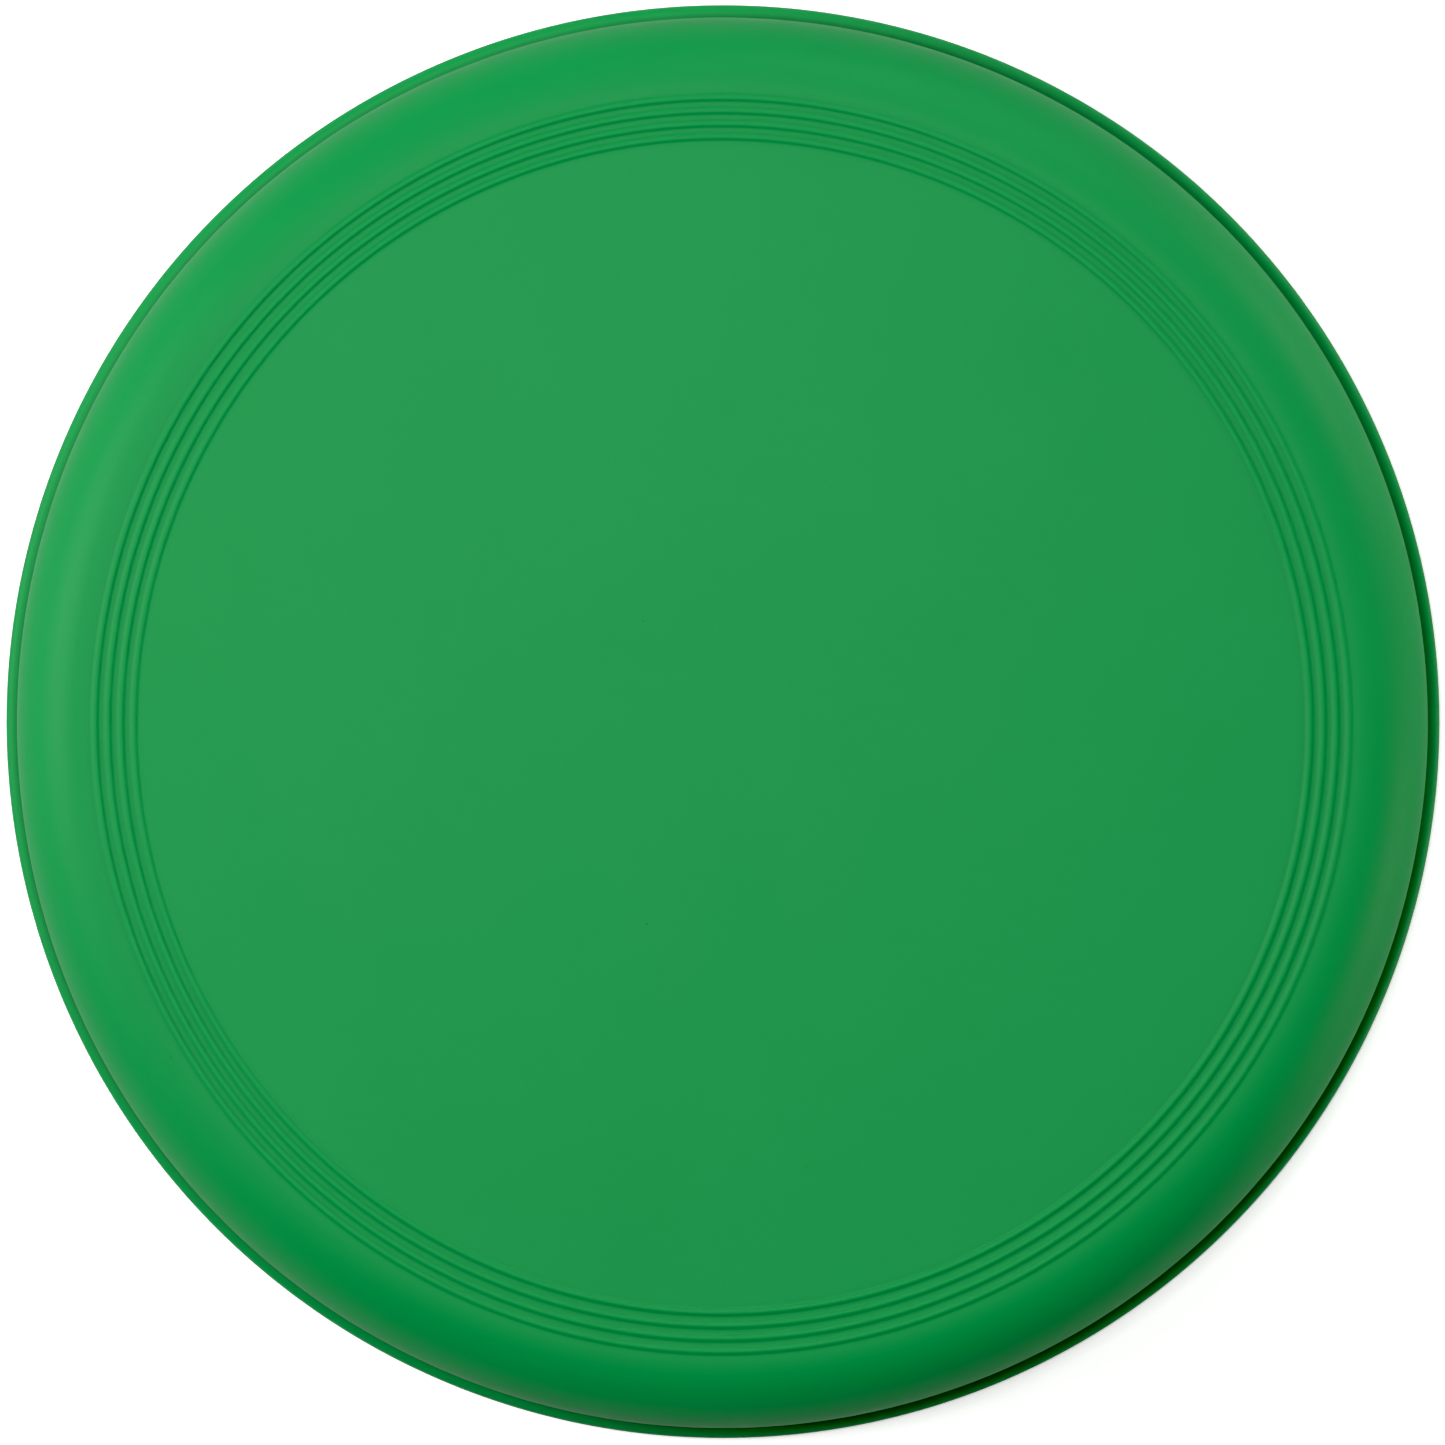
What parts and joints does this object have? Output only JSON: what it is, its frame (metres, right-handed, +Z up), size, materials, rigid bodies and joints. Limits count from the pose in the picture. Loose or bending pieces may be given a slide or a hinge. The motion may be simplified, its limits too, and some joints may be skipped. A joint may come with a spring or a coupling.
{
  "type": "flying disc",
  "caption": "Round throwing disc with a flat plate, a band of low ridges, a round shoulder and a lip at the rim's foot; hollow underneath for the fingers.",
  "frame": {"origin": "centre of the face that the lip rests on", "axes": "+Z up along the axis that the disc spins about, towards the plate's ridged face; X and Y are alike"},
  "size_m": [0.22, 0.22, 0.0223],
  "materials": {
    "disc_plastic": "green polypropylene, satin from a fine spark-eroded mould texture"
  },
  "bodies": {
    "root": {"disc": "disc_plastic"}
  },
  "joints": []
}
